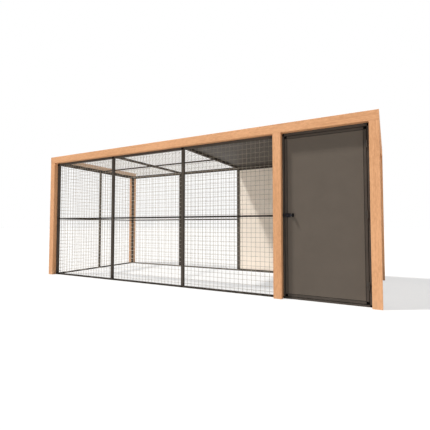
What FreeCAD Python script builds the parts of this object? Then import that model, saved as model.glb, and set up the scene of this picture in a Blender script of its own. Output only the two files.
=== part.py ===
"""Pet run: a timber portal round a steel cage of tubes, welded mesh and solid panels, with a hinged door.

Millimetres, +Z up, front towards -Y. The origin is on the ground, at the middle of the plan.
"""
import FreeCAD, Part
import math
import os

V = FreeCAD.Vector
X_AXIS, Y_AXIS, Z_AXIS = V(1, 0, 0), V(0, 1, 0), V(0, 0, 1)

# Overall sizes
run_length = 4750.0
run_depth = 1900.0
run_height = 1870.0

# Timber posts and beams
post_width = 90.0
beam_height = 98.0
arris_radius = 2.5
tenon_side = 40.0
tenon_length = 50.0
tenon_clearance = 0.5

# Steel tubes of the cage
panel_setback = 60.0
upright_side = 35.0
post_upright_width = 20.0
side_upright_width = 40.0
bottom_rail_height = 20.0
top_rail_height = 30.0
roof_rail_height = 20.0
cross_rail_height = 30.0
mid_rail_side = 20.0
tube_wall = 1.5
bay_count = 3
mesh_bay_count = 2

# Black push-in connectors
spigot_length = 30.0
spigot_clearance = 0.2

# Welded wire mesh
mesh_opening = 50.0
wire_diameter = 3.5
wire_sides = 4
roof_lap = 12.0

# Solid panels
wall_sheet = 12.0
roof_sheet = 12.0
bead_width = 12.0

# Fixed door frame
door_opening = 860.0
door_tube = 20.0
door_head = 30.0
stop_width = 16.0
stop_clearance = 1.0

# Door leaf
leaf_tube = 25.0
leaf_gap = 6.0
leaf_sheet = 8.0
leaf_sheet_recess = 3.0
leaf_sheet_gap = 5.0
leaf_bead_depth = 10.0

# Barrel hinges
knuckle_radius = 6.0
knuckle_length = 34.0
knuckle_gap = 0.6
hinge_plate = 3.0
hinge_plate_inset = 2.0
hinge_leaf_width = 20.0
pin_radius = 3.0
pin_clearance = 0.05
pin_head_radius = 5.0
pin_head_height = 3.0
hinge_height_shares = (0.1, 0.5, 0.9)

# Slide bolt
bolt_height = 884.0
bolt_travel = 27.0
bolt_plate = 3.0
bolt_plate_height = 44.0
bolt_plate_length = 56.0
bolt_inset = 3.0
bar_length = 97.0
bar_height = 16.0
bar_depth = 8.0
bar_clearance = 0.3
guide_width = 12.0
guide_wall = 4.0
guide_inset = 3.0
guide_spacing = 34.0
keeper_inset = 2.0
handle_width = 18.0
handle_height = 38.0
handle_depth = 16.0
handle_radius = 4.0

# Working values: how far a cutter passes a face, and when an edge counts as parallel to an axis
overrun = 1.0
parallel_share = 0.5

# Planes of the timber and the steel, worked out from the sizes above
left, right = -run_length / 2, run_length / 2
front, back = -run_depth / 2, run_depth / 2
beam_base = run_height - beam_height
steel_left, steel_right = left + post_width, right - post_width
steel_front, steel_rear = front + panel_setback, back - post_width
inner_left, inner_right = steel_left + upright_side, steel_right - upright_side
inner_front, inner_rear = steel_front + upright_side, steel_rear - upright_side
steel_top = beam_base
rail_base = steel_top - top_rail_height
roof_top = steel_top + roof_rail_height
cross_rail_base = roof_top - cross_rail_height
mesh_pitch = mesh_opening + wire_diameter
clear_height = (bottom_rail_height, rail_base)
mid_height = sum(clear_height) / 2
middle_post_right = steel_right - door_opening
middle_post_left = middle_post_right - post_width
bay_pitch = (middle_post_left - steel_left) / bay_count
middle_places = [steel_left + i * bay_pitch - upright_side / 2 for i in range(1, bay_count)]
upright_places = [steel_left] + middle_places + [middle_post_left - upright_side]

# Planes of the door leaf
leaf_left = middle_post_right + door_tube + leaf_gap
leaf_right = steel_right - door_tube - leaf_gap
leaf_base = door_tube + leaf_gap
leaf_top = steel_top - door_head - leaf_gap
leaf_back = steel_front + leaf_tube


def block(x_span, y_span, z_span):
    """A box between three pairs of planes."""
    size = [span[1] - span[0] for span in (x_span, y_span, z_span)]
    return Part.makeBox(*size, V(x_span[0], y_span[0], z_span[0]))


def inset(span, amount):
    """A span drawn in by the same amount at both ends."""
    return (span[0] + amount, span[1] - amount)


def centred(middle, width):
    """A span of the given width about its middle."""
    return (middle - width / 2, middle + width / 2)


def tube(axis, x_span, y_span, z_span):
    """A square or flat tube that runs along the named axis, open at both ends."""
    spans = {"x": x_span, "y": y_span, "z": z_span}
    bore = {name: inset(span, -overrun if name == axis else tube_wall) for name, span in spans.items()}
    return block(x_span, y_span, z_span).cut(block(bore["x"], bore["y"], bore["z"]))


def spigot(axis, sign, x_span, y_span, z_span):
    """The plug of a connector block that fills a tube's bore, on the named side of the block."""
    spans = {"x": x_span, "y": y_span, "z": z_span}
    plug = {name: inset(span, tube_wall + spigot_clearance) for name, span in spans.items()}
    low, high = spans[axis]
    reach_up, reach_down = (high - tube_wall, high + spigot_length), (low - spigot_length, low + tube_wall)
    plug[axis] = reach_up if sign > 0 else reach_down
    return block(plug["x"], plug["y"], plug["z"])


def connector(sides, x_span, y_span, z_span):
    """A black nylon block with a plug on each named side, such as ("z", -1) for the underside."""
    solid = block(x_span, y_span, z_span)
    for axis, sign in sides:
        solid = solid.fuse(spigot(axis, sign, x_span, y_span, z_span))
    return solid.removeSplitter()


def edges_along(solid, direction):
    """The straight edges of a solid that run in a direction."""
    return [e for e in solid.Edges if abs(e.tangentAt(e.FirstParameter).dot(direction)) > parallel_share]


def timber(axis, x_span, y_span, z_span):
    """A planed timber with rounded arrises along its length."""
    solid = block(x_span, y_span, z_span)
    along = {"x": X_AXIS, "y": Y_AXIS, "z": Z_AXIS}[axis]
    return solid.makeFillet(arris_radius, edges_along(solid, along))


def wire(start, along, normal, length):
    """One straight wire, drawn as a prism whose flats face the other layer of the mesh."""
    across = along.cross(normal)
    corner_radius = wire_diameter / 2 / math.cos(math.pi / wire_sides)
    angles = [(2 * i + 1) * math.pi / wire_sides for i in range(wire_sides)]
    corners = [start + (normal * math.cos(a) + across * math.sin(a)) * corner_radius for a in angles]
    return Part.Face(Part.makePolygon(corners + corners[:1])).extrude(along * length)


def wire_places(span):
    """Wire centres at the mesh pitch, centred in a span."""
    count = int(span // mesh_pitch)
    first = (span - (count - 1) * mesh_pitch) / 2
    return [first + i * mesh_pitch for i in range(count)]


def welded_mesh(corner, u, v, normal, width, height):
    """Two layers of wire that touch where they cross: the first runs along v, the second along u."""
    first_layer, second_layer = normal * (wire_diameter / 2), normal * (wire_diameter * 3 / 2)
    wires = [wire(corner + u * place + first_layer, v, normal, height) for place in wire_places(width)]
    wires += [wire(corner + v * place + second_layer, u, normal, width) for place in wire_places(height)]
    return wires


def bead_frame(span, z_span, strip):
    """Four bead strips round an opening, each built by strip from its span along the wall and in height."""
    upright_z = inset(z_span, bead_width)
    low, high = (z_span[0], upright_z[0]), (upright_z[1], z_span[1])
    near, far = (span[0], span[0] + bead_width), (span[1] - bead_width, span[1])
    return [strip(span, low), strip(span, high), strip(near, upright_z), strip(far, upright_z)]


def bead_sides(frame_span, sheet):
    """The rebates on the two sides of a sheet that stands in a frame of tubes."""
    return [(frame_span[0], sheet[0]), (sheet[1], frame_span[1])]


def save(node, solids):
    """Writes one node, of one solid or a group of separate solids."""
    shape = solids[0] if len(solids) == 1 else Part.makeCompound(solids)
    shape.exportStep(os.path.join("parts", node + ".step"))


def post(x_span, y_span):
    """A post with a stub tenon that enters the beam above it."""
    tenon = [centred(sum(span) / 2, tenon_side) for span in (x_span, y_span)]
    solid = timber("z", x_span, y_span, (0, beam_base))
    return solid.fuse(block(*tenon, (beam_base, beam_base + tenon_length))).removeSplitter()


def mortise(x_span, y_span):
    """The pocket in a beam that takes a post's tenon."""
    pocket = [centred(sum(span) / 2, tenon_side + 2 * tenon_clearance) for span in (x_span, y_span)]
    return block(*pocket, (beam_base - overrun, beam_base + tenon_length + tenon_clearance))


def build_timber():
    """Five posts, the front beam and the two side beams."""
    left_span, right_span = (left, steel_left), (steel_right, right)
    middle_span = (middle_post_left, middle_post_right)
    front_span, rear_span = (front, front + post_width), (steel_rear, back)
    posts = {
        "post_front_left": (left_span, front_span),
        "post_front_middle": (middle_span, front_span),
        "post_front_right": (right_span, front_span),
        "post_rear_left": (left_span, rear_span),
        "post_rear_right": (right_span, rear_span),
    }
    for node, spans in posts.items():
        save(node, [post(*spans)])

    beam_span = (beam_base, run_height)
    tenon_height = centred(sum(beam_span) / 2, tenon_side)
    front_beam = timber("x", (left, right), front_span, beam_span)
    for x_span in (left_span, middle_span, right_span):
        front_beam = front_beam.cut(mortise(x_span, front_span))
    for node, x_span in (("beam_left", left_span), ("beam_right", right_span)):
        side_beam = timber("y", x_span, (front_span[1], back), beam_span).cut(mortise(x_span, rear_span))
        tenon_width = centred(sum(x_span) / 2, tenon_side)
        tenon_reach = post_width / 2 - tenon_side / 2 - 2 * tenon_clearance
        tenon = block(tenon_width, (front_span[1] - tenon_reach, front_span[1]), tenon_height)
        save(node, [side_beam.fuse(tenon).removeSplitter()])
        pocket = block(
            inset(tenon_width, -tenon_clearance),
            (front_span[1] - tenon_reach - tenon_clearance, front_span[1] + overrun),
            inset(tenon_height, -tenon_clearance),
        )
        front_beam = front_beam.cut(pocket)
    save("beam_front", [front_beam])


def bay_span(index):
    """The clear span of a bay, the door bay counting as the last one."""
    far = upright_places[index + 1] if index < bay_count else inner_right
    return (upright_places[index] + upright_side, far)


def front_upright_span(index):
    """The width of a front upright, which is slimmer where it stands beside the middle post."""
    if index == bay_count:
        return (middle_post_left - post_upright_width, middle_post_left)
    return (upright_places[index], upright_places[index] + upright_side)


def build_front_wall():
    """Uprights with connectors on top, and rails and mesh between them."""
    y_span, z_span = (steel_front, inner_front), (rail_base, steel_top)
    connectors, top_rails, bottom_rails, mid_rails = [], [], [], []
    for i in range(bay_count + 1):
        x_span = front_upright_span(i)
        save(f"front_upright_{i + 1}", [tube("z", x_span, y_span, (0, rail_base))])
        sides = [("z", -1)]
        sides += [("x", -1)] if i > 0 else []
        sides += [("x", 1)] if i < bay_count else []
        connectors.append(connector(sides, x_span, y_span, z_span))
    for i in range(bay_count):
        x_span = (front_upright_span(i)[1], front_upright_span(i + 1)[0])
        top_rails.append(tube("x", x_span, y_span, z_span))
        bottom_rails.append(tube("x", x_span, y_span, (0, bottom_rail_height)))
        mid_y = (steel_front, steel_front + mid_rail_side)
        mid_rails.append(tube("x", x_span, mid_y, centred(mid_height, mid_rail_side)))
        corner = V(x_span[0], mid_y[1], bottom_rail_height)
        width, height = x_span[1] - x_span[0], rail_base - bottom_rail_height
        mesh = welded_mesh(corner, X_AXIS, Z_AXIS, Y_AXIS, width, height)
        save(f"front_mesh_{i + 1}", mesh)
    save("front_connectors", connectors)
    save("front_top_rails", top_rails)
    save("front_bottom_rails", bottom_rails)
    save("front_mid_rails", mid_rails)


def side_bays():
    """The two clear spans of a side wall and its middle upright between them."""
    upright = centred((inner_front + inner_rear) / 2, side_upright_width)
    return upright, [(inner_front, upright[0]), (upright[1], inner_rear)]


def rail_heights():
    """The spans in height of a wall's bottom and top rail."""
    return [(0, bottom_rail_height), (rail_base, steel_top)]


def build_left_wall():
    """Top and bottom rails, a middle upright, mid rails and one mesh behind them."""
    x_span, slim = (steel_left, inner_left), (steel_left, steel_left + mid_rail_side)
    y_span = (inner_front, inner_rear)
    upright, bays = side_bays()
    save("left_rails", [tube("y", x_span, y_span, z) for z in rail_heights()])
    save("left_upright", [tube("z", slim, upright, clear_height)])
    save("left_mid_rails", [tube("y", slim, bay, centred(mid_height, mid_rail_side)) for bay in bays])
    corner = V(slim[1], y_span[0], bottom_rail_height)
    size = (y_span[1] - y_span[0], rail_base - bottom_rail_height)
    save("left_mesh", welded_mesh(corner, Y_AXIS, Z_AXIS, X_AXIS, *size))


def build_rear_wall():
    """Uprights and rails, mesh in the first bays and solid panels in the others."""
    y_span = (inner_rear, steel_rear)
    places = upright_places + [inner_right]
    save("rear_uprights", [tube("z", (p, p + upright_side), y_span, (0, steel_top)) for p in places])
    bays = [bay_span(i) for i in range(bay_count + 1)]
    bottom_z, top_z = rail_heights()
    save("rear_top_rails", [tube("x", bay, y_span, top_z) for bay in bays])
    save("rear_bottom_rails", [tube("x", bay, y_span, bottom_z) for bay in bays])
    slim = (steel_rear - mid_rail_side, steel_rear)
    mid_span = centred(mid_height, mid_rail_side)
    save("rear_mid_rails", [tube("x", bay, slim, mid_span) for bay in bays[:mesh_bay_count]])
    for i, bay in enumerate(bays[:mesh_bay_count]):
        corner = V(bay[0], slim[0], bottom_rail_height)
        mesh = welded_mesh(corner, X_AXIS, Z_AXIS, -Y_AXIS, bay[1] - bay[0], rail_base - bottom_rail_height)
        save(f"rear_mesh_{i + 1}", mesh)
    sheet, beads = centred(sum(y_span) / 2, wall_sheet), []
    for i, bay in enumerate(bays[mesh_bay_count:]):
        save(f"rear_panel_{i + 1}", [block(bay, sheet, clear_height)])
        for side in bead_sides(y_span, sheet):
            beads += bead_frame(bay, clear_height, lambda x, z: block(x, side, z))
    save("rear_beads", beads)


def build_right_wall():
    """Rails, two uprights and two solid panels."""
    x_span, y_span = (inner_right, steel_right), (inner_front, inner_rear)
    middle, bays = side_bays()
    first = (inner_front, inner_front + upright_side)
    save("right_rails", [tube("y", x_span, y_span, z) for z in rail_heights()])
    save("right_uprights", [tube("z", x_span, y, clear_height) for y in (first, middle)])
    sheet, beads = centred(sum(x_span) / 2, wall_sheet), []
    panel_bays = [(first[1], bays[0][1]), bays[1]]
    for i, bay in enumerate(panel_bays):
        save(f"right_panel_{i + 1}", [block(sheet, bay, clear_height)])
        for side in bead_sides(x_span, sheet):
            beads += bead_frame(bay, clear_height, lambda y, z: block(side, y, z))
    save("right_beads", beads)


def build_roof():
    """Rails on top of the walls, with mesh over the first bays and solid panels over the others."""
    z_span, x_span = (steel_top, roof_top), (steel_left, steel_right)
    front_rail, rear_rail = (front + post_width, front + post_width + upright_side), (inner_rear, steel_rear)
    y_span = (front_rail[1], rear_rail[0])
    save("roof_long_rails", [tube("x", x_span, y, z_span) for y in (front_rail, rear_rail)])
    edges = ((steel_left, inner_left), (inner_right, steel_right))
    save("roof_side_rails", [tube("y", x, y_span, z_span) for x in edges])
    crossings = [(p, p + upright_side) for p in upright_places[1:]]
    save("roof_cross_rails", [tube("y", x, y_span, (cross_rail_base, roof_top)) for x in crossings])
    bays = [bay_span(i) for i in range(bay_count + 1)]
    middle = centred(sum(y_span) / 2, mid_rail_side)
    mid_z = (cross_rail_base, cross_rail_base + mid_rail_side)
    save("roof_mid_rails", [tube("x", bay, middle, mid_z) for bay in bays[:mesh_bay_count]])
    lapped = inset(y_span, -roof_lap)
    for i, bay in enumerate(bays):
        cover = inset(bay, -roof_lap)
        if i < mesh_bay_count:
            corner = V(cover[0], lapped[0], roof_top)
            size = (cover[1] - cover[0], lapped[1] - lapped[0])
            save(f"roof_mesh_{i + 1}", welded_mesh(corner, X_AXIS, Y_AXIS, Z_AXIS, *size))
        else:
            sheet = block(cover, lapped, (roof_top, roof_top + roof_sheet))
            save(f"roof_panel_{i + 1 - mesh_bay_count}", [sheet])


def corner_frame(outer_x, outer_z, y_span, side, head):
    """Stiles, rails and corner connectors of a frame of tubes, with its own height of top rail."""
    inner_x, inner_z = inset(outer_x, side), (outer_z[0] + side, outer_z[1] - head)
    x_ends = ((outer_x[0], inner_x[0]), (inner_x[1], outer_x[1]))
    z_ends = ((outer_z[0], inner_z[0]), (inner_z[1], outer_z[1]))
    stiles = [tube("z", x_end, y_span, inner_z) for x_end in x_ends]
    rails = [tube("x", inner_x, y_span, z_end) for z_end in z_ends]
    corners = []
    for x_end, x_sign in zip(x_ends, (1, -1)):
        for z_end, z_sign in zip(z_ends, (1, -1)):
            corners.append(connector([("x", x_sign), ("z", z_sign)], x_end, y_span, z_end))
    return stiles, rails, corners


def build_door_frame():
    """The fixed frame between the middle and the right post, with its stop strips."""
    outer_x, outer_z = (middle_post_right, steel_right), (0, steel_top)
    stiles, rails, corners = corner_frame(outer_x, outer_z, (steel_front, inner_front), door_tube, door_head)
    save("door_jambs", stiles)
    save("door_rails", rails)
    save("door_frame_connectors", corners)
    jamb_face, head_face = middle_post_right + door_tube, steel_top - door_head
    y_span = (leaf_back + stop_clearance, inner_front)
    lock_stop = block((jamb_face, jamb_face + stop_width), y_span, (door_tube, head_face))
    head_x = (jamb_face + stop_width, steel_right - door_tube)
    head_stop = block(head_x, y_span, (head_face - stop_width, head_face))
    save("door_stops", [lock_stop, head_stop])


def build_leaf():
    """The door leaf: a frame of tubes with a solid panel held by beads."""
    outer_x, outer_z = (leaf_left, leaf_right), (leaf_base, leaf_top)
    stiles, rails, corners = corner_frame(outer_x, outer_z, (steel_front, leaf_back), leaf_tube, leaf_tube)
    save("leaf_stiles", stiles)
    save("leaf_rails", rails)
    save("leaf_connectors", corners)
    inner_x, inner_z = inset(outer_x, leaf_tube), inset(outer_z, leaf_tube)
    sheet_front = steel_front + leaf_sheet_recess
    sheet_back = sheet_front + leaf_sheet
    sheet = block(inset(inner_x, leaf_sheet_gap), (sheet_front, sheet_back), inset(inner_z, leaf_sheet_gap))
    save("leaf_panel", [sheet])
    bead_y = (sheet_back, sheet_back + leaf_bead_depth)
    save("leaf_beads", bead_frame(inner_x, inner_z, lambda x, z: block(x, bead_y, z)))


def knuckle(axis_point, x_span, z_span):
    """A hinge plate rolled into a barrel about the hinge axis, bored for the pin."""
    height = z_span[1] - z_span[0]
    start = V(axis_point.x, axis_point.y, z_span[0])
    barrel = Part.makeCylinder(knuckle_radius, height, start)
    plate = block(x_span, (steel_front - hinge_plate, steel_front), z_span)
    bore = Part.makeCylinder(pin_radius + pin_clearance, height + 2 * overrun, start - Z_AXIS * overrun)
    return barrel.fuse(plate).cut(bore).removeSplitter()


def build_hinges():
    """Three barrel hinges in the gap at the right of the leaf."""
    axis_point = V(leaf_right + leaf_gap / 2, steel_front - knuckle_radius, 0)
    frame_x = (axis_point.x, steel_right - hinge_plate_inset)
    leaf_x = (leaf_right - hinge_leaf_width, axis_point.x)
    frame_knuckles, leaf_knuckles, pins = [], [], []
    for share in hinge_height_shares:
        middle = leaf_base + share * (leaf_top - leaf_base)
        low, high = middle - knuckle_length, middle + knuckle_length
        frame_knuckles.append(knuckle(axis_point, frame_x, (low, middle - knuckle_gap / 2)))
        leaf_knuckles.append(knuckle(axis_point, leaf_x, (middle + knuckle_gap / 2, high)))
        shaft_base, shaft_length = V(axis_point.x, axis_point.y, low), high - low + knuckle_gap
        shaft = Part.makeCylinder(pin_radius, shaft_length, shaft_base)
        head = Part.makeCylinder(pin_head_radius, pin_head_height, shaft_base + Z_AXIS * shaft_length)
        pins.append(shaft.fuse(head).removeSplitter())
    save("hinge_frame_knuckles", frame_knuckles)
    save("hinge_leaf_knuckles", leaf_knuckles)
    save("hinge_pins", pins)


def staple(x_start, face):
    """A bent strap on a plate's face that leaves a passage for the bolt bar."""
    passage_depth, passage_height = bar_depth + 2 * bar_clearance, bar_height + 2 * bar_clearance
    x_span = (x_start, x_start + guide_width)
    passage_z = centred(bolt_height, passage_height)
    strap = block(x_span, (face - passage_depth - guide_wall, face), inset(passage_z, -guide_wall))
    passage = block(inset(x_span, -overrun), (face - passage_depth, face), passage_z)
    return strap.cut(passage)


def build_bolt():
    """A slide bolt on the lock stile, drawn back at rest, and its keeper on the jamb."""
    face = steel_front - bolt_plate
    plate_z = centred(bolt_height, bolt_plate_height)
    plate_x = (leaf_left + bolt_inset, leaf_left + bolt_inset + bolt_plate_length)
    plate = block(plate_x, (face, steel_front), plate_z)
    packer_x = (leaf_left + leaf_tube + leaf_sheet_gap, plate_x[1])
    plate = plate.fuse(block(packer_x, (steel_front, steel_front + leaf_sheet_recess), plate_z))
    for i in range(2):
        plate = plate.fuse(staple(plate_x[0] + guide_inset + i * guide_spacing, face))
    save("bolt_plate", [plate.removeSplitter()])

    bar_x = (plate_x[0], plate_x[0] + bar_length)
    bar_y = (face - bar_clearance - bar_depth, face - bar_clearance)
    save("bolt_bar", [block(bar_x, bar_y, centred(bolt_height, bar_height))])
    grip_x, grip_y = (bar_x[1] - handle_width, bar_x[1]), (bar_y[0] - handle_depth, bar_y[0])
    grip = block(grip_x, grip_y, centred(bolt_height, handle_height))
    save("bolt_handle", [grip.makeFillet(handle_radius, edges_along(grip, Y_AXIS))])

    keeper_x = (middle_post_right + keeper_inset, middle_post_right + door_tube - keeper_inset)
    keeper = block(keeper_x, (face, steel_front), plate_z)
    keeper = keeper.fuse(staple(sum(keeper_x) / 2 - guide_width / 2, face))
    save("bolt_keeper", [keeper.removeSplitter()])


def main():
    os.makedirs("parts", exist_ok=True)
    build_timber()
    build_front_wall()
    build_left_wall()
    build_rear_wall()
    build_right_wall()
    build_roof()
    build_door_frame()
    build_leaf()
    build_hinges()
    build_bolt()


main()
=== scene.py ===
# %% [markdown]
# # A walk-in pet run
# The real run is a portal of planed timber with a cage of dark steel tubes standing inside it. Three bays
# of welded wire mesh fill the front, a solid door closes the right end, and the rear right corner is a
# sheltered part under a solid roof. This lesson dresses the measured solids with finishes, makes the round
# wires and the fasteners with Geometry Nodes, and lights the run as in a bright studio.

# %% Load the measured solids
import bmesh
import bpy
import math
from mathutils import Matrix, Vector


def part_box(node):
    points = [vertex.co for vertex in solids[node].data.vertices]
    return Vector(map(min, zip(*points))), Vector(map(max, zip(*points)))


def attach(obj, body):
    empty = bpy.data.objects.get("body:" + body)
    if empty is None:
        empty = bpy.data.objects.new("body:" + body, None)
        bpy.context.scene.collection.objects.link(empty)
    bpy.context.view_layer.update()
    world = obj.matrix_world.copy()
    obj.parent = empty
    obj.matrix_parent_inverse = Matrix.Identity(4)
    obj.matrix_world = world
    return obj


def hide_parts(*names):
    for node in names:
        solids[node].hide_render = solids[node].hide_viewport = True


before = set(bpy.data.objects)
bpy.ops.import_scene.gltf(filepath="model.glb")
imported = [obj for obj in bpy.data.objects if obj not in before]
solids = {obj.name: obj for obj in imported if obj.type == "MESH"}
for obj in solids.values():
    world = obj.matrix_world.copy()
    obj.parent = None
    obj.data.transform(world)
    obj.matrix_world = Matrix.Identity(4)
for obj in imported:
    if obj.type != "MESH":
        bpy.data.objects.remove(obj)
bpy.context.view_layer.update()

# %% [markdown]
# ## The camera
# The picture was taken from just in front of the right end, a little below half height, with a wide lens
# that looks slightly up. A camera can be placed by eye, but the outer corners of the portal were measured
# in the picture and solved for place, heading and focal length, so edges land within a pixel.

# %% Camera at the viewing angle
image_pixels = 430
focal_pixels = 324.91
centre_column = 217.82
centre_row = 211.36
camera_place = (2.4312, -4.3155, 0.7785)
camera_heading = 27.661
camera_tilt = 2.436
sensor_width = 36.0

view_data = bpy.data.cameras.new("front_view")
view_data.sensor_width = sensor_width
view_data.lens = focal_pixels * sensor_width / image_pixels
view_data.shift_x = (image_pixels / 2 - centre_column) / image_pixels
view_data.shift_y = (centre_row - image_pixels / 2) / image_pixels
view = bpy.data.objects.new("front_view", view_data)
view.location = camera_place
view.rotation_euler = (math.radians(90 + camera_tilt), 0, math.radians(camera_heading))
bpy.context.scene.collection.objects.link(view)
bpy.context.scene.camera = view
print("lens", round(view_data.lens, 2), "mm")

# %% [markdown]
# ## Small helpers for node trees
# Finishes and Geometry Nodes are both trees of nodes. One helper adds a node, sets its options and fills or
# links its inputs, so each later cell reads as a short recipe and no link is made by hand.

# %% Node helpers
def add_node(tree, kind, inputs=None, **options):
    """Adds a node, sets its options, and fills or links the inputs that are given by name or place."""
    made = tree.nodes.new(kind)
    for name, value in options.items():
        setattr(made, name, value)
    for name, value in (inputs or {}).items():
        if isinstance(value, bpy.types.NodeSocket):
            tree.links.new(value, made.inputs[name])
        else:
            made.inputs[name].default_value = value
    return made


def maths(tree, operation, first, second=0.0, third=0.0, clamp=False):
    """One Math node, given by its operation."""
    inputs = {0: first, 1: second, 2: third}
    return add_node(tree, "ShaderNodeMath", inputs, operation=operation, use_clamp=clamp).outputs[0]


def stretched(tree, vector, amounts):
    """Scales a texture's coordinates along each axis."""
    return add_node(tree, "ShaderNodeVectorMath", {0: vector, 1: amounts}, operation="MULTIPLY").outputs[0]


def noise(tree, vector, scale, detail=2.0, roughness=0.5):
    """A noise texture's value."""
    inputs = {"Vector": vector, "Scale": scale, "Detail": detail, "Roughness": roughness}
    return add_node(tree, "ShaderNodeTexNoise", inputs).outputs[0]


def spread(tree, value, low, high, to_low, to_high):
    """Maps a value from one range to another, held within the second."""
    inputs = {"Value": value, "From Min": low, "From Max": high, "To Min": to_low, "To Max": to_high}
    return add_node(tree, "ShaderNodeMapRange", inputs).outputs[0]


def swing(tree, value, to_low, to_high):
    """Spreads the middle of a noise, where most of its values lie, over a range."""
    return spread(tree, value, noise_low, noise_high, to_low, to_high)


def blended(tree, share, first, second, how="MIX"):
    """Mixes two colours by a share."""
    inputs = {0: share, 6: first, 7: second}
    return add_node(tree, "ShaderNodeMix", inputs, data_type="RGBA", blend_type=how).outputs[2]


def new_group(name, inputs, outputs):
    """A shader group with named sockets: returns the tree, its inputs and its output node."""
    tree = bpy.data.node_groups.new(name, "ShaderNodeTree")
    for label, kind, start in inputs:
        socket = tree.interface.new_socket(label, in_out="INPUT", socket_type=kind)
        if start is not None:
            socket.default_value = start
    for label, kind in outputs:
        tree.interface.new_socket(label, in_out="OUTPUT", socket_type=kind)
    return tree, tree.nodes.new("NodeGroupInput").outputs, tree.nodes.new("NodeGroupOutput")


def fill_outputs(tree, end, **values):
    """Links values to a group's outputs."""
    for label, value in values.items():
        tree.links.new(value, end.inputs[label])


noise_low, noise_high = 0.3, 0.7
vector_kind, colour_kind, number_kind = "NodeSocketVector", "NodeSocketColor", "NodeSocketFloat"
print("helpers ready, noise is read from", noise_low, "to", noise_high)

# %% [markdown]
# ## Timber grain
# Planed timber shows growth rings as long stripes along each stick and as arcs on its ends. A flat stripe
# texture would wrap wrongly round the corners, so the rings are a solid pattern in space: bands across the
# stick, bent by slow noise that is stretched along it, with fine fibre and short flecks over them.

# %% Timber grain group
drift_stretch = (1.0, 1.0, 0.07)
drift_scale = 8.0
ring_drift = 0.055
ring_slant = 0.45
late_edge = 2.2
late_share = 0.42
ring_height = 0.5
fibre_stretch = (1.0, 1.0, 0.018)
fibre_scale = 210.0
fibre_range = (0.32, 0.72)
fibre_share = 0.55
fleck_stretch = (1.0, 1.0, 0.3)
fleck_scale = 85.0
fleck_range = (0.32, 0.68)
fleck_depth = 0.26
board_stretch = (1.0, 1.0, 0.12)
board_scale = 7.0
board_depth = 0.22
timber_gloss = (0.48, 0.68)

grain_group, given, grain_end = new_group(
    "timber_grain",
    [("Vector", vector_kind, None), ("Early wood", colour_kind, (0.76, 0.43, 0.22, 1)),
     ("Late wood", colour_kind, (0.56, 0.28, 0.12, 1)), ("Ring width", number_kind, 0.009)],
    [("Color", colour_kind), ("Roughness", number_kind), ("Height", number_kind)])

stick = given["Vector"]
drift = noise(grain_group, stretched(grain_group, stick, drift_stretch), drift_scale, detail=3.0)
parts = add_node(grain_group, "ShaderNodeSeparateXYZ", {0: stick}).outputs
across = maths(grain_group, "MULTIPLY_ADD", parts[1], ring_slant, parts[0])
wandered = maths(grain_group, "MULTIPLY_ADD", drift, ring_drift, across)
ring = maths(grain_group, "FRACT", maths(grain_group, "DIVIDE", wandered, given["Ring width"]))
late = maths(grain_group, "POWER", ring, late_edge)
drawn_out = stretched(grain_group, stick, fibre_stretch)
fibre = noise(grain_group, drawn_out, fibre_scale, detail=3.0, roughness=0.6)
streaks = spread(grain_group, fibre, *fibre_range, 0.0, fibre_share)
ringed = maths(grain_group, "MULTIPLY_ADD", late, late_share, streaks)
fleck = noise(grain_group, stretched(grain_group, stick, fleck_stretch), fleck_scale)
fleck_tone = spread(grain_group, fleck, *fleck_range, -fleck_depth, fleck_depth)
board = noise(grain_group, stretched(grain_group, stick, board_stretch), board_scale)
board_tone = swing(grain_group, board, -board_depth, board_depth)
flecked = maths(grain_group, "ADD", ringed, fleck_tone)
toned = maths(grain_group, "ADD", flecked, board_tone, clamp=True)
fill_outputs(
    grain_group, grain_end,
    Color=blended(grain_group, toned, given["Early wood"], given["Late wood"]),
    Roughness=swing(grain_group, fibre, *timber_gloss),
    Height=maths(grain_group, "MULTIPLY_ADD", late, ring_height, fibre))
print("group:", grain_group.name)

# %% [markdown]
# ## Powder coat
# The tubes and the sheets are sprayed with powder and baked, which leaves a fine orange-peel skin and slight
# cloudiness in tone and gloss. One group gives all of them that skin, each with its colour. The zinc on the
# wires is cloudy and finely rough in the same way, so it uses the group too.

# %% Powder coat group
peel_scale = 900.0
peel_tone = 0.35
cloud_scale = 4.5

coat_group, given, coat_end = new_group(
    "powder_coat",
    [("Vector", vector_kind, None), ("Tint", colour_kind, (0.1, 0.1, 0.1, 1)),
     ("Cloudiness", number_kind, 0.25), ("Gloss low", number_kind, 0.38), ("Gloss high", number_kind, 0.56)],
    [("Color", colour_kind), ("Roughness", number_kind), ("Height", number_kind)])
cloud = noise(coat_group, given["Vector"], cloud_scale, detail=5.0, roughness=0.6)
speck = noise(coat_group, given["Vector"], peel_scale)
lift = swing(coat_group, cloud, -1.0, 1.0)
fine = swing(coat_group, speck, -peel_tone, peel_tone)
tone = maths(coat_group, "MULTIPLY_ADD", maths(coat_group, "ADD", lift, fine), given["Cloudiness"], 1.0)
grey = add_node(coat_group, "ShaderNodeCombineColor", {0: tone, 1: tone, 2: tone}).outputs[0]
fill_outputs(
    coat_group, coat_end,
    Color=blended(coat_group, 1.0, given["Tint"], grey, "MULTIPLY"),
    Roughness=swing(coat_group, cloud, given["Gloss low"], given["Gloss high"]),
    Height=speck)
print("group:", coat_group.name)

# %% [markdown]
# ## Dust from the ground
# Rain splashes soil on the lowest hand's width of anything that stands outdoors. The mask is strongest at
# the ground, fades with height, and is broken up by noise, so it reads as dust and not as a painted band.
# The colour of the soil is an input, so that it can be pale dust; a near-black colour turns the same mask
# into painted shade near the ground.

# %% Ground dust group
dust_scale = 16.0
dust_falloff = 1.6
dust_patches = (0.35, 0.7)
dry_soil = (0.42, 0.35, 0.27)
dry_reach = 0.16

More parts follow.
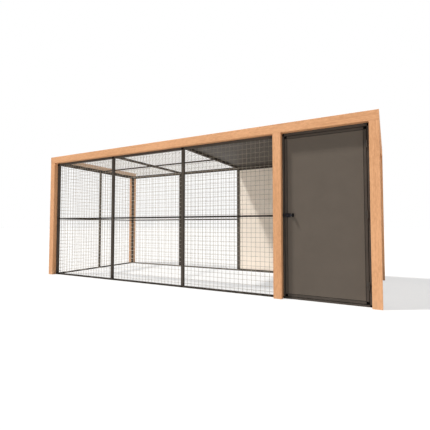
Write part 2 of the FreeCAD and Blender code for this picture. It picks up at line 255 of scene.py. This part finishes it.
dust_and_shade_group, given, dust_end = new_group(
    "ground_dust_and_shade",
    [("Vector", vector_kind, None), ("Clean", colour_kind, (0.5, 0.5, 0.5, 1)),
     ("Dust and shade", colour_kind, (*dry_soil, 1)), ("Reach", number_kind, dry_reach), ("Amount", number_kind, 0.3)],
    [("Color", colour_kind), ("Mask", number_kind)])
height = add_node(dust_and_shade_group, "ShaderNodeSeparateXYZ", {0: given["Vector"]}).outputs[2]
lifted = maths(dust_and_shade_group, "DIVIDE", height, given["Reach"])
nearness = maths(dust_and_shade_group, "SUBTRACT", 1.0, lifted, clamp=True)
splashes = noise(dust_and_shade_group, given["Vector"], dust_scale, detail=6.0, roughness=0.65)
patches = spread(dust_and_shade_group, splashes, *dust_patches, 0.0, 1.0)
low_dust_and_shade = maths(dust_and_shade_group, "MULTIPLY", maths(dust_and_shade_group, "POWER", nearness, dust_falloff), patches)
dust_and_shade_mask = maths(dust_and_shade_group, "MULTIPLY", low_dust_and_shade, given["Amount"], clamp=True)
fill_outputs(
    dust_and_shade_group, dust_end, Mask=dust_and_shade_mask,
    Color=blended(dust_and_shade_group, dust_and_shade_mask, given["Clean"], given["Dust and shade"]))
print("group:", dust_and_shade_group.name)

# %% [markdown]
# ## Putting a finish together
# Each finish is a Principled shader that reads Object coordinates, which are the frame's own metres here,
# because every piece sits at the origin. The groups feed its colour, roughness and bump.

# %% Finish helpers
bump_strength = 0.6
print("bump strength of every finish:", bump_strength)


def new_finish(name):
    """A material: returns it, its tree, its shader and its coordinates."""
    material = bpy.data.materials.new(name)
    material.use_nodes = True
    tree = material.node_tree
    place = add_node(tree, "ShaderNodeTexCoord").outputs["Object"]
    return material, tree, tree.nodes["Principled BSDF"], place


def grouped(tree, group, inputs):
    """Places a shader group with its own values and gives its outputs."""
    return add_node(tree, "ShaderNodeGroup", inputs, node_tree=group).outputs


def surface(tree, shader, colour, roughness, height, bump_depth):
    """Links colour, roughness and a bump of the given depth to the shader."""
    bump_inputs = {"Height": height, "Distance": bump_depth, "Strength": bump_strength}
    bump = add_node(tree, "ShaderNodeBump", bump_inputs)
    tree.links.new(colour, shader.inputs["Base Color"])
    tree.links.new(roughness, shader.inputs["Roughness"])
    tree.links.new(bump.outputs[0], shader.inputs["Normal"])


def coat_finish(name, tint, cloudiness, gloss, bump_depth=0.0002, dust=0.3, specular=0.18,
                soil_and_shade_tint=dry_soil, reach=dry_reach):
    """A powder coated finish with dust near the ground; a near-black soil tint paints shade there instead."""
    material, tree, shader, place = new_finish(name)
    coat = grouped(tree, coat_group, {
        "Vector": place, "Tint": (*tint, 1), "Cloudiness": cloudiness,
        "Gloss low": gloss[0], "Gloss high": gloss[1]})
    dust_and_shade_out = grouped(tree, dust_and_shade_group, {
        "Vector": place, "Clean": coat["Color"], "Amount": dust, "Dust and shade": (*soil_and_shade_tint, 1), "Reach": reach})
    surface(tree, shader, dust_and_shade_out["Color"], coat["Roughness"], coat["Height"], bump_depth)
    shader.inputs["Specular IOR Level"].default_value = specular
    return material


def dress(material, *names):
    """Gives a finish to solids of the frame."""
    for name in names:
        for slot in solids[name].material_slots:
            slot.material = material
    print(material.name, "on", len(names), "solids")


# %% [markdown]
# ## The timber portal
# Posts, the front beam and the side beams run in three directions, and each stick's grain runs along it.
# A Mapping node turns the pattern so that its long axis lies along the stick. Every stick stands in another
# place of the same solid pattern, so no two look alike.

# %% Timber finishes
early_wood = (0.642, 0.344, 0.178, 1)
late_wood = (0.441, 0.21, 0.093, 1)
ring_width = 0.0095
grain_depth = 0.0006
timber_dust = 0.35
timber_specular = 0.3
post_turn = 0.6


def timber_finish(name, turn):
    """Timber with its grain turned to run along one axis of the frame."""
    material, tree, shader, place = new_finish(name)
    turned = add_node(tree, "ShaderNodeMapping", {"Vector": place, "Rotation": turn}).outputs[0]
    grain = grouped(tree, grain_group, {
        "Vector": turned, "Early wood": early_wood, "Late wood": late_wood, "Ring width": ring_width})
    dust_and_shade_out = grouped(tree, dust_and_shade_group, {"Vector": place, "Clean": grain["Color"], "Amount": timber_dust})
    surface(tree, shader, dust_and_shade_out["Color"], grain["Roughness"], grain["Height"], grain_depth)
    shader.inputs["Specular IOR Level"].default_value = timber_specular
    return material


quarter = math.pi / 2
posts = [name for name in solids if name.startswith("post_")]
side_beams = ["beam_left", "beam_right"]
dress(timber_finish("timber_upright", (0.0, 0.0, post_turn)), *posts)
dress(timber_finish("timber_lengthwise", (0.0, quarter, 0.0)), "beam_front")
dress(timber_finish("timber_crosswise", (quarter, 0.0, 0.0)), *side_beams)

# %% [markdown]
# ## The steel cage
# The tubes are cold-rolled, so their corners are rounded by a couple of millimetres and catch a thin line
# of light. The solids have sharp corners. A Weld and a Bevel modifier round them without touching the mesh,
# which is simpler than building every tube again. The planed timber gets the same small arris. A rail that
# is only a pixel or two thick renders paler than it looks in the picture. So the flat mid rails get a darker
# copy of the coat, which is painted shade. The lowest hand's width of the wall tubes gets a near-black tint
# that fades with height, which is painted shade too, though all may be coated alike on the real run.

# %% Steel tubes
steel_tint = (0.064, 0.0545, 0.047)
# painted shade: a darker copy of the steel tint, laid on the thin mid rails
shaded_rail_tint = (0.025, 0.02, 0.016)
# painted shade near the ground: its near-black tint, how high it reaches and how strong it is
bottom_shade_tint = (0.018, 0.0145, 0.0115)
bottom_shade_reach = 0.1
bottom_shade_amount = 2.0
steel_clouds = 0.12
steel_gloss = (0.56, 0.72)
steel_specular = 0.06
tube_corner = 0.0016
timber_arris = 0.002
corner_steps = 2
weld_distance = 0.00001
corner_angle = 40.0


def round_corners(name, radius):
    """Rounds a solid's sharp edges with modifiers."""
    weld = solids[name].modifiers.new("weld", "WELD")
    weld.merge_threshold = weld_distance
    bevel = solids[name].modifiers.new("round", "BEVEL")
    bevel.width = radius
    bevel.segments = corner_steps
    bevel.limit_method = "ANGLE"
    bevel.angle_limit = math.radians(corner_angle)


upright_starts = ("front_upright", "rear_upright", "right_upright")
cage_tubes = [name for name in solids if name.startswith(upright_starts)]
cage_tubes += [name for name in solids if name.endswith("_rails") and not name.startswith("leaf")]
cage_tubes += ["left_upright", "door_jambs", "door_stops", "rear_beads", "right_beads"]
leaf_tubes = ["leaf_stiles", "leaf_rails", "leaf_beads"]
door_tubes = [name for name in cage_tubes if name.startswith("door")]
wall_tubes = [name for name in cage_tubes if name not in door_tubes]
steel = coat_finish("dark_steel", steel_tint, steel_clouds, steel_gloss, dust=0.0, specular=steel_specular)
# the wall tubes get painted shade that fades with height from the ground
bottom_shaded_steel = coat_finish("bottom_shaded_steel", steel_tint, steel_clouds, steel_gloss, dust=bottom_shade_amount,
                         specular=steel_specular, soil_and_shade_tint=bottom_shade_tint, reach=bottom_shade_reach)
dress(steel, *door_tubes, *leaf_tubes)
dress(bottom_shaded_steel, *wall_tubes)
# the mid rails get the darker copy of the coat: painted shade
shaded_rail_steel = coat_finish("shaded_rail_steel", shaded_rail_tint, steel_clouds, steel_gloss, dust=0.0,
                         specular=steel_specular)
dress(shaded_rail_steel, "front_mid_rails", "rear_mid_rails", "left_mid_rails")
for name in cage_tubes + leaf_tubes:
    round_corners(name, tube_corner)
for name in posts + ["beam_front"] + side_beams:
    round_corners(name, timber_arris)
print("rounded tubes:", len(cage_tubes + leaf_tubes), "corner", tube_corner)

# %% [markdown]
# ## Black connectors
# The corner pieces are moulded nylon with a fine matt texture. They are nearly black, so only their grain
# and the light on their edges show what they are.

# %% Connectors
nylon_tint = (0.002, 0.002, 0.002)
nylon = coat_finish("black_nylon", nylon_tint, cloudiness=0.25, gloss=(0.7, 0.85), bump_depth=0.0003,
                    dust=0.0, specular=0.03)
connectors = ["front_connectors", "door_frame_connectors", "leaf_connectors"]
dress(nylon, *connectors)
for name in connectors:
    round_corners(name, tube_corner)

# %% [markdown]
# ## Solid sheets
# Three sheets close the run: cream laminate in the walls, a dark sheet on the roof and a dark sheet in the
# door. All have a smooth pressed skin with slight clouding; the wall sheets also collect splashes low down.

# %% Sheets
cream_tint = (0.98, 0.892, 0.796)
roof_tint = (0.087, 0.078, 0.07)
door_tint = (0.094, 0.078, 0.064)
wall_sheets = ["rear_panel_1", "rear_panel_2", "right_panel_1", "right_panel_2"]
roof_sheets = ["roof_panel_1", "roof_panel_2"]
cream_sheet = coat_finish("cream_sheet", cream_tint, cloudiness=0.035, gloss=(0.42, 0.55), dust=0.28)
roof_sheet = coat_finish("roof_sheet", roof_tint, cloudiness=0.1, gloss=(0.5, 0.66), dust=0.0)
door_sheet = coat_finish("door_sheet", door_tint, cloudiness=0.05, gloss=(0.4, 0.52), dust=0.06)
dress(cream_sheet, *wall_sheets)
dress(roof_sheet, *roof_sheets)
dress(door_sheet, "leaf_panel")

# %% [markdown]
# ## Hinges and bolt
# The hinges are coated steel like the tubes. The bolt is drawn back here, so its plate and keeper are nearly
# black and keep the dark line that a closed bolt makes across the jamb. The sliding bar is blackened steel
# with a bluish cast and fine draw marks along it, so its noise is stretched along the bar.

# %% Ironwork
hinge_tint = (0.05, 0.043, 0.037)
keeper_tint = (0.011, 0.010, 0.013)
bar_dark = (0.010, 0.010, 0.015, 1)
bar_light = (0.024, 0.024, 0.034, 1)
draw_marks = (0.05, 1.0, 1.0)
mark_scale = 1400.0
mark_share = 0.6
mark_depth = 0.00008
stain_scale = 120.0
bar_gloss = (0.28, 0.46)
bar_specular = 0.2

hinges = ["hinge_frame_knuckles", "hinge_leaf_knuckles", "hinge_pins"]
hinge_steel = coat_finish("hinge_steel", hinge_tint, cloudiness=0.2, gloss=(0.35, 0.5), dust=0.0)
bolt_steel = coat_finish("bolt_steel", keeper_tint, cloudiness=0.2, gloss=(0.4, 0.55), dust=0.0, specular=0.1)
bolt_grip = coat_finish("bolt_grip", nylon_tint, cloudiness=0.2, gloss=(0.5, 0.65), dust=0.0, specular=0.06)
dress(hinge_steel, *hinges)
dress(bolt_steel, "bolt_plate", "bolt_keeper")
dress(bolt_grip, "bolt_handle")

bar_finish, tree, shader, place = new_finish("blackened_bar")
marks = noise(tree, stretched(tree, place, draw_marks), mark_scale)
stains = noise(tree, place, stain_scale, detail=4.0)
worn = maths(tree, "MULTIPLY_ADD", marks, mark_share, maths(tree, "MULTIPLY", stains, 1.0 - mark_share))
bar_colour = blended(tree, worn, bar_dark, bar_light)
surface(tree, shader, bar_colour, swing(tree, stains, *bar_gloss), marks, mark_depth)
shader.inputs["Specular IOR Level"].default_value = bar_specular
dress(bar_finish, "bolt_bar")

# %% [markdown]
# ## Welded wire mesh
# Each bay is closed by wires at a steady pitch, one layer upright and one lying across it, welded where they
# cross. That is a rule, so a Geometry Nodes tree makes it: a row of points for each layer, a round wire on
# each point. Sizes come from the boxes of the solids that the wires stand for.

# %% Tree for a panel of wires
wire_mesh_pitch = 0.0535
wire_round_steps = 8
upright_layer = 0.5
crossing_layer = 1.5

wire_tree = bpy.data.node_groups.new("welded_wires", "GeometryNodeTree")
wire_sockets = {}
shape_kind, finish_kind, object_kind = "NodeSocketGeometry", "NodeSocketMaterial", "NodeSocketObject"
for label in ("Width", "Height", "Pitch", "Wire", "Finish"):
    kind = finish_kind if label == "Finish" else number_kind
    socket = wire_tree.interface.new_socket(label, in_out="INPUT", socket_type=kind)
    wire_sockets[label] = socket.identifier
wire_tree.interface.new_socket("Geometry", in_out="OUTPUT", socket_type=shape_kind)
wire_given = wire_tree.nodes.new("NodeGroupInput").outputs
wire_end = wire_tree.nodes.new("NodeGroupOutput")


def wire_layer(tree, span, length, across, along, layer):
    """One layer of wires: points at the pitch, centred in a span, each carrying a round wire.

    The layer's depth is counted in wires."""
    count = maths(tree, "FLOOR", maths(tree, "DIVIDE", span, wire_given["Pitch"]))
    gaps = maths(tree, "SUBTRACT", count, 1.0)
    covered = maths(tree, "MULTIPLY", gaps, wire_given["Pitch"])
    first = maths(tree, "MULTIPLY", maths(tree, "SUBTRACT", span, covered), 0.5)
    depth = maths(tree, "MULTIPLY", wire_given["Wire"], layer)
    start = add_node(tree, "ShaderNodeCombineXYZ", {across: first, "Y": depth}).outputs[0]
    step = add_node(tree, "ShaderNodeCombineXYZ", {across: wire_given["Pitch"]}).outputs[0]
    row = {"Count": count, "Start Location": start, "Offset": step}
    points = add_node(tree, "GeometryNodeMeshLine", row, mode="OFFSET").outputs[0]
    tip = add_node(tree, "ShaderNodeCombineXYZ", {along: length}).outputs[0]
    line = add_node(tree, "GeometryNodeCurvePrimitiveLine", {"End": tip}).outputs[0]
    radius = maths(tree, "MULTIPLY", wire_given["Wire"], 0.5)
    circle = {"Resolution": wire_round_steps, "Radius": radius}
    section = add_node(tree, "GeometryNodeCurvePrimitiveCircle", circle).outputs[0]
    sweep = {"Curve": line, "Profile Curve": section, "Fill Caps": True}
    rod = add_node(tree, "GeometryNodeCurveToMesh", sweep).outputs[0]
    return add_node(tree, "GeometryNodeInstanceOnPoints", {"Points": points, "Instance": rod}).outputs[0]


wide, tall = wire_given["Width"], wire_given["Height"]
uprights = wire_layer(wire_tree, wide, tall, "X", "Z", upright_layer)
crossers = wire_layer(wire_tree, tall, wide, "Z", "X", crossing_layer)
both = wire_tree.nodes.new("GeometryNodeJoinGeometry")
wire_tree.links.new(uprights, both.inputs[0])
wire_tree.links.new(crossers, both.inputs[0])
real = add_node(wire_tree, "GeometryNodeRealizeInstances", {0: both.outputs[0]}).outputs[0]
coated = add_node(wire_tree, "GeometryNodeSetMaterial", {0: real, "Material": wire_given["Finish"]})
wire_tree.links.new(coated.outputs[0], wire_end.inputs[0])
print("tree:", wire_tree.name, "with", len(wire_tree.nodes), "nodes")

# %% [markdown]
# ## Zinc on the wires
# The wires are galvanised. The parts of a wire that face up, which the surface normal tells, are painted
# paler
# in broken patches: a painted highlight where the sun falls on their tops. Under the solid roof the wires get
# a darker tint and less of that highlight, which is painted shade from the roof.

# %% Wire finish
wire_tint = (0.34, 0.29, 0.228, 1)
# painted highlight: the pale tint on the tops of the wires, and how far up a face must point to get it
top_highlight_tint = (0.8, 0.78, 0.74, 1)
highlight_from, highlight_to = 0.15, 0.75
# painted shade: the darker tint of the wires under the solid roof, the share of highlight left there, and how
# softly it sets in
roof_shaded_tint = (0.24, 0.208, 0.165, 1)
roof_shaded_highlight = 0.3
roof_shade_fade = 0.08
# the painted highlight is broken into patches by noise
highlight_patch_scale = 30.0
highlight_patch_range = (0.3, 0.6)
highlight_patch_least = 0.6
wire_clouds = 0.16
wire_gloss = (0.38, 0.55)
wire_bump = 0.0001
wire_specular = 0.2

wire_finish, tree, shader, place = new_finish("galvanised_wire")
roof_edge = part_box("roof_panel_1")[0].x
across = add_node(tree, "ShaderNodeSeparateXYZ", {0: place}).outputs[0]
# mask of the painted shade, from the edge of the roof sheet
roof_shaded = spread(tree, across, roof_edge - roof_shade_fade, roof_edge + roof_shade_fade, 0.0, 1.0)
zinc = grouped(tree, coat_group, {
    "Vector": place, "Tint": blended(tree, roof_shaded, wire_tint, roof_shaded_tint),
    "Cloudiness": wire_clouds, "Gloss low": wire_gloss[0], "Gloss high": wire_gloss[1]})
facing_way = add_node(tree, "ShaderNodeNewGeometry").outputs["Normal"]
upness = add_node(tree, "ShaderNodeSeparateXYZ", {0: facing_way}).outputs[2]
patch_noise = noise(tree, place, highlight_patch_scale, detail=4.0)
highlight_patches = spread(tree, patch_noise, *highlight_patch_range, highlight_patch_least, 1.0)
# painted highlight on the up-facing parts, weakened under the roof
lit_tops = spread(tree, upness, highlight_from, highlight_to, 0.0, 1.0)
outside_roof_shade = spread(tree, roof_shaded, 0.0, 1.0, 1.0, roof_shaded_highlight)
highlight_share = maths(tree, "MULTIPLY", maths(tree, "MULTIPLY", lit_tops, highlight_patches), outside_roof_shade)
highlighted = blended(tree, highlight_share, zinc["Color"], top_highlight_tint)
surface(tree, shader, highlighted, zinc["Roughness"], zinc["Height"], wire_bump)
shader.inputs["Specular IOR Level"].default_value = wire_specular
print("wires are sheltered from x =", round(roof_edge, 3))

# %% [markdown]
# ## Panels of wire
# The tree makes a panel that stands in the plane of X and Z. A matrix turns it into each wall or the roof.
# Only turns are used and no mirroring, so the faces keep pointing outwards. A table says for each side which
# corner of the solid's box the panel starts from, and which axes its width, height and depth lie along.

# %% Panels of wire in the walls and the roof
def evaluated_mesh(name, tree, values, start=None):
    """Runs a Geometry Nodes tree on points, or on an empty mesh, and keeps its result as a plain mesh."""
    holder = bpy.data.objects.new(name, start or bpy.data.meshes.new(name + "_start"))
    bpy.context.scene.collection.objects.link(holder)
    modifier = holder.modifiers.new("make", "NODES")
    modifier.node_group = tree
    for identifier, value in values.items():
        modifier[identifier] = value
    graph = bpy.context.evaluated_depsgraph_get()
    mesh = bpy.data.meshes.new_from_object(holder.evaluated_get(graph))
    holder.modifiers.clear()
    bpy.data.objects.remove(holder)
    return mesh


def wire_panel(piece_name, node, turn, corner, width, height, wire):
    """Wires that stand for one mesh panel of the frame."""
    sizes = {"Width": width, "Height": height, "Pitch": wire_mesh_pitch, "Wire": wire, "Finish": wire_finish}
    values = {wire_sockets[label]: size for label, size in sizes.items()}
    mesh = evaluated_mesh(piece_name, wire_tree, values)
    mesh.transform(Matrix.Translation(corner) @ turn.to_4x4())
    for face in mesh.polygons:
        face.use_smooth = len(face.vertices) == 4
    piece = bpy.data.objects.new(piece_name, mesh)
    bpy.context.scene.collection.objects.link(piece)
    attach(piece, "run_frame")
    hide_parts(node)
    print(piece_name, "faces:", len(mesh.polygons))


panel_sides = {
    "front": (Matrix.Identity(3), (0, 0, 0), (0, 2, 1)),
    "rear": (Matrix.Rotation(math.pi, 3, "Z"), (1, 1, 0), (0, 2, 1)),
    "left": (Matrix.Rotation(-quarter, 3, "Z"), (0, 1, 0), (1, 2, 0)),
    "roof": (Matrix.Rotation(quarter, 3, "X"), (0, 1, 0), (0, 1, 2))}
mesh_nodes = ["front_mesh_1", "front_mesh_2", "front_mesh_3", "rear_mesh_1", "rear_mesh_2", "left_mesh",
              "roof_mesh_1", "roof_mesh_2"]
for node in mesh_nodes:
    turn, ends, (wide_axis, tall_axis, deep_axis) = panel_sides[node.split("_")[0]]
    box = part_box(node)
    size = box[1] - box[0]
    corner = Vector([box[end][axis] for axis, end in enumerate(ends)])
    wire_panel(node.replace("mesh", "wires"), node, turn, corner,
               size[wide_axis], size[tall_axis], size[deep_axis] / 2)

# %% [markdown]
# ## One screw head
# Small domed screws hold the roof sheets, the beads, the hinges and the bolt. A screw is a turned part, so
# one head is turned here from a profile of radii and heights: a washer, a dome and a recess for the driver.
# It is one unit in radius, and is scaled where it is set.

# %% A turned screw head
head_sides = 10
head_profile = ((1.0, 0.0), (1.0, 0.14), (0.68, 0.2), (0.6, 0.42), (0.36, 0.56), (0.3, 0.34))


def turned_form(name, profile, sides):
    """A closed mesh turned round the upright axis from pairs of radius and height."""
    form = bmesh.new()
    rings = []
    for radius, height in profile:
        angles = [2 * math.pi * i / sides for i in range(sides)]
        rings.append([form.verts.new((radius * math.cos(a), radius * math.sin(a), height)) for a in angles])
    for lower, upper in zip(rings, rings[1:]):
        for i in range(sides):
            j = (i + 1) % sides
            form.faces.new((lower[i], lower[j], upper[j], upper[i]))
    form.faces.new(rings[-1])
    form.faces.new(rings[0][::-1])
    mesh = bpy.data.meshes.new(name)
    form.to_mesh(mesh)
    form.free()
    return mesh


screw_head = bpy.data.objects.new("screw_head", turned_form("screw_head", head_profile, head_sides))
print("screw head faces:", len(screw_head.data.polygons))

# %% [markdown]
# ## A tree that sets screws
# Screws repeat, so Geometry Nodes sets them. The tree reads bare points that each carry the way the screw
# faces and the size of its head, turns a head to face that way, and makes all of them one mesh.

# %% Tree for screws
screw_tree = bpy.data.node_groups.new("set_screws", "GeometryNodeTree")
screw_sockets = {}
for label, kind in (("Geometry", shape_kind), ("Head", object_kind), ("Finish", finish_kind)):
    socket = screw_tree.interface.new_socket(label, in_out="INPUT", socket_type=kind)
    screw_sockets[label] = socket.identifier
screw_tree.interface.new_socket("Geometry", in_out="OUTPUT", socket_type=shape_kind)
screw_given = screw_tree.nodes.new("NodeGroupInput").outputs
screw_end = screw_tree.nodes.new("NodeGroupOutput")

stored = "GeometryNodeInputNamedAttribute"
facing = add_node(screw_tree, stored, {"Name": "facing"}, data_type="FLOAT_VECTOR").outputs[0]
reach = add_node(screw_tree, stored, {"Name": "reach"}, data_type="FLOAT").outputs[0]
turned = add_node(screw_tree, "FunctionNodeAlignRotationToVector", {"Vector": facing}, axis="Z").outputs[0]
head = add_node(screw_tree, "GeometryNodeObjectInfo", {"Object": screw_given["Head"]}).outputs["Geometry"]
set_heads = add_node(screw_tree, "GeometryNodeInstanceOnPoints", {
    "Points": screw_given["Geometry"], "Instance": head, "Rotation": turned, "Scale": reach}).outputs[0]
real_heads = add_node(screw_tree, "GeometryNodeRealizeInstances", {0: set_heads}).outputs[0]
coat_inputs = {0: real_heads, "Material": screw_given["Finish"]}
coated_heads = add_node(screw_tree, "GeometryNodeSetMaterial", coat_inputs)
screw_tree.links.new(coated_heads.outputs[0], screw_end.inputs[0])
print("tree:", screw_tree.name, "with", len(screw_tree.nodes), "nodes")

# %% [markdown]
# ## Where the screws sit
# Every place is worked out from the box of the solid that the screw holds, so the screws follow the solids.
# Sheets and beads get a row along each edge; hinges, bolt and keeper get screws at set heights.

# %% Rows of places
sheet_inset = 0.006
sheet_spacing = 0.30
sheet_reach = 0.0052
bead_reach = 0.0038
backward, forward = Vector((0, 1, 0)), Vector((0, -1, 0))
leftward, rightward, upward = Vector((-1, 0, 0)), Vector((1, 0, 0)), Vector((0, 0, 1))


def along(start, end, spacing):
    """Even places from start up to, but without, end."""
    gaps = max(1, math.ceil((end - start).length / spacing))
    return [start.lerp(end, i / gaps) for i in range(gaps)]


def round_edge(low, high, normal, level, inset, spacing):
    """Even places round the edge of a box's face, at a level along the face's axis."""
    axis = [abs(v) for v in normal].index(1)
    first, second = [i for i in range(3) if i != axis]
    corners = []
    for a, b in ((0, 0), (1, 0), (1, 1), (0, 1)):
        corner = Vector((0, 0, 0))
        corner[axis] = level
        corner[first] = high[first] - inset if a else low[first] + inset
        corner[second] = high[second] - inset if b else low[second] + inset
        corners.append(corner)
    places = []
    for i in range(4):
        places += along(corners[i], corners[(i + 1) % 4], spacing)
    return places


def edge_screws(node, normal, level, reach):
    """A row of screws round the edge of a node's face."""
    low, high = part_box(node)
    places = round_edge(low, high, normal, level, sheet_inset, sheet_spacing)
    return [(place, normal, reach) for place in places]


frame_screws, leaf_screws = [], []
for name in roof_sheets:
    frame_screws += edge_screws(name, upward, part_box(name)[1].z, sheet_reach)
for name in wall_sheets:
    if name.startswith("rear"):
        frame_screws += edge_screws(name, forward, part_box("rear_beads")[0].y, bead_reach)
    else:
        frame_screws += edge_screws(name, leftward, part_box("right_beads")[0].x, bead_reach)
leaf_screws += edge_screws("leaf_beads", backward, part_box("leaf_beads")[1].y, bead_reach)
print("screws in sheets and beads:", len(frame_screws), "and", len(leaf_screws))

# %% [markdown]
# ## Screws of the cage and the door
# The cage is screwed to the left posts and to the middle post through its own uprights, and each hinge plate,
# the bolt and the keeper have screws in their free corners. The three hinges are one solid on each side, so
# the middle of each hinge is worked out from the ends of both boxes.

# %% Screws in the cage, the hinges and the bolt
cage_heights = (0.16, 0.62, 1.15, 1.6)
cage_reach = 0.0055
cage_depth = 0.010
plate_face = 0.003
plate_reach = 0.0032
hinge_steps = (0.009, 0.025)
lowest_hinge_rise = 0.0168
hinge_screw_inset = 0.0075
bolt_screw_inset = 0.0048
bolt_screw_columns = (0.009, 0.047)

for name, normal in (("front_upright_1", rightward), ("front_upright_4", leftward)):
    low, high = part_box(name)
    side = high.x if normal == rightward else low.x
    frame_screws += [(Vector((side, low.y + cage_depth, z)), normal, cage_reach) for z in cage_heights]
side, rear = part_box("front_upright_1")[1].x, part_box("rear_uprights")[1].y
frame_screws += [(Vector((side, rear - cage_depth, z)), rightward, cage_reach) for z in cage_heights]

leaf_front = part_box("leaf_stiles")[0].y - plate_face
frame_plates, leaf_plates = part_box("hinge_frame_knuckles"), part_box("hinge_leaf_knuckles")
hinge_middles = [(leaf_plates[0].z + frame_plates[0].z) / 2 + lowest_hinge_rise]
hinge_middles.append((leaf_plates[0].z + frame_plates[1].z) / 2)
hinge_middles.append(frame_plates[1].z)
for middle in hinge_middles:
    for step in hinge_steps:
        frame_place = Vector((frame_plates[1].x - hinge_screw_inset, leaf_front, middle - step))
        leaf_place = Vector((leaf_plates[0].x + hinge_screw_inset, leaf_front, middle + step))
        frame_screws.append((frame_place, forward, plate_reach))
        leaf_screws.append((leaf_place, forward, plate_reach))

bolt_low, bolt_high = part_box("bolt_plate")
keeper_low, keeper_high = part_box("bolt_keeper")
keeper_middle = (keeper_low.x + keeper_high.x) / 2
for z in (bolt_low.z + bolt_screw_inset, bolt_high.z - bolt_screw_inset):
    for x in bolt_screw_columns:
        leaf_screws.append((Vector((bolt_low.x + x, leaf_front, z)), forward, plate_reach))
    frame_screws.append((Vector((keeper_middle, leaf_front, z)), forward, plate_reach))
print("screws on the frame:", len(frame_screws), "on the leaf:", len(leaf_screws))

# %% [markdown]
# ## Setting the screws
# The points become one mesh for each body, so that the screws of the leaf swing with it. Each point keeps
# its facing and its size as attributes, which the tree reads.

# %% Set the screws
screw_tint = (0.045, 0.043, 0.042)
screw_finish = coat_finish("black_screws", screw_tint, cloudiness=0.2, gloss=(0.3, 0.45), dust=0.0,
                           specular=0.35)
screw_head.data.materials.append(screw_finish)


def set_screws(piece_name, body, screws):
    """One mesh of screw heads that rides on a body."""
    points = bpy.data.meshes.new(piece_name + "_points")
    points.from_pydata([place for place, way, size in screws], [], [])
    points.attributes.new("facing", "FLOAT_VECTOR", "POINT")
    points.attributes.new("reach", "FLOAT", "POINT")
    for i, (place, way, size) in enumerate(screws):
        points.attributes["facing"].data[i].vector = way
        points.attributes["reach"].data[i].value = size
    values = {screw_sockets["Head"]: screw_head, screw_sockets["Finish"]: screw_finish}
    mesh = evaluated_mesh(piece_name, screw_tree, values, points)
    piece = bpy.data.objects.new(piece_name, mesh)
    bpy.context.scene.collection.objects.link(piece)
    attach(piece, body)
    print(piece_name, "faces:", len(mesh.polygons))


set_screws("cage_screws", "run_frame", frame_screws)
set_screws("leaf_screws", "door_leaf", leaf_screws)
bpy.data.objects.remove(screw_head)

# %% [markdown]
# ## Light and floor
# The run stands in bright, soft daylight: a broad sun high to the front left, whose light throws the beam's
# soft shadow on the recessed door, and a soft fill that is dim near the sun and brighter opposite it. The
# floor is pale and keeps the run's shadow. For the camera it is lifted towards white, and the surround is
# white, so the light on the run itself stays plain.

# %% Light and surround
sun_travel = (1.7, 1.0, -3.75)
sun_strength = 5.4
sun_softness = 5.0
sun_tint = (1.0, 0.97, 0.93)
sun_side = (-0.85, -0.15, 0.5)
fill_near_sun = 0.1
fill_opposite = 0.95
fill_turn = (-0.6, 1.0)
white = (1.0, 1.0, 1.0, 1)

bpy.context.scene.view_settings.view_transform = "Standard"
sun_data = bpy.data.lights.new("sun", "SUN")
sun_data.energy = sun_strength
sun_data.angle = math.radians(sun_softness)
sun_data.color = sun_tint
sun = bpy.data.objects.new("sun", sun_data)
sun.rotation_euler = Vector(sun_travel).to_track_quat("-Z", "Y").to_euler()
bpy.context.scene.collection.objects.link(sun)


def seen_directly(tree):
    """1 where a ray comes from the camera, or by way of metal or glass."""
    path = add_node(tree, "ShaderNodeLightPath").outputs
    mirrored = maths(tree, "MAXIMUM", path["Is Glossy Ray"], path["Is Transmission Ray"])
    return maths(tree, "MAXIMUM", path["Is Camera Ray"], mirrored)


surround = bpy.data.worlds.new("surround")
bpy.context.scene.world = surround
surround.use_nodes = True
tree = surround.node_tree
tree.nodes.clear()
backdrop = add_node(tree, "ShaderNodeBackground", {"Color": white, "Strength": 1.0})
heading = add_node(tree, "ShaderNodeTexCoord").outputs["Generated"]
toward = Vector(sun_side).normalized()
turned = add_node(tree, "ShaderNodeVectorMath", {0: heading, 1: toward}, operation="DOT_PRODUCT")
fill_level = spread(tree, turned.outputs["Value"], *fill_turn, fill_opposite, fill_near_sun)
fill = add_node(tree, "ShaderNodeBackground", {"Color": white, "Strength": fill_level})
either_inputs = {0: seen_directly(tree), 1: fill.outputs[0], 2: backdrop.outputs[0]}
either = add_node(tree, "ShaderNodeMixShader", either_inputs)
add_node(tree, "ShaderNodeOutputWorld", {0: either.outputs[0]})
print("sun", sun_strength, "fill from", fill_near_sun, "to", fill_opposite)

# %% Floor
floor_reach = 60.0
floor_tint = (0.7, 0.69, 0.67, 1)
floor_pale = (0.62, 0.62, 0.62, 1)
floor_lift = 0.6

floor_mesh = bpy.data.meshes.new("floor")
corners = [(-floor_reach, -floor_reach, 0), (floor_reach, -floor_reach, 0),
           (floor_reach, floor_reach, 0), (-floor_reach, floor_reach, 0)]
floor_mesh.from_pydata(corners, [], [(0, 1, 2, 3)])
floor_object = bpy.data.objects.new("floor", floor_mesh)
bpy.context.scene.collection.objects.link(floor_object)
floor_finish, tree, shader, place = new_finish("pale_floor")
tree.nodes.remove(shader)
bounce = add_node(tree, "ShaderNodeBsdfDiffuse", {"Color": floor_tint})
pale = add_node(tree, "ShaderNodeBsdfDiffuse", {"Color": floor_pale})
glow = add_node(tree, "ShaderNodeEmission", {"Color": white, "Strength": 1.0})
lifted = add_node(tree, "ShaderNodeMixShader", {0: floor_lift, 1: pale.outputs[0], 2: glow.outputs[0]})
shown_inputs = {0: seen_directly(tree), 1: bounce.outputs[0], 2: lifted.outputs[0]}
shown = add_node(tree, "ShaderNodeMixShader", shown_inputs)
tree.links.new(shown.outputs[0], tree.nodes["Material Output"].inputs["Surface"])
floor_mesh.materials.append(floor_finish)
print("floor reaches", floor_reach, "m")
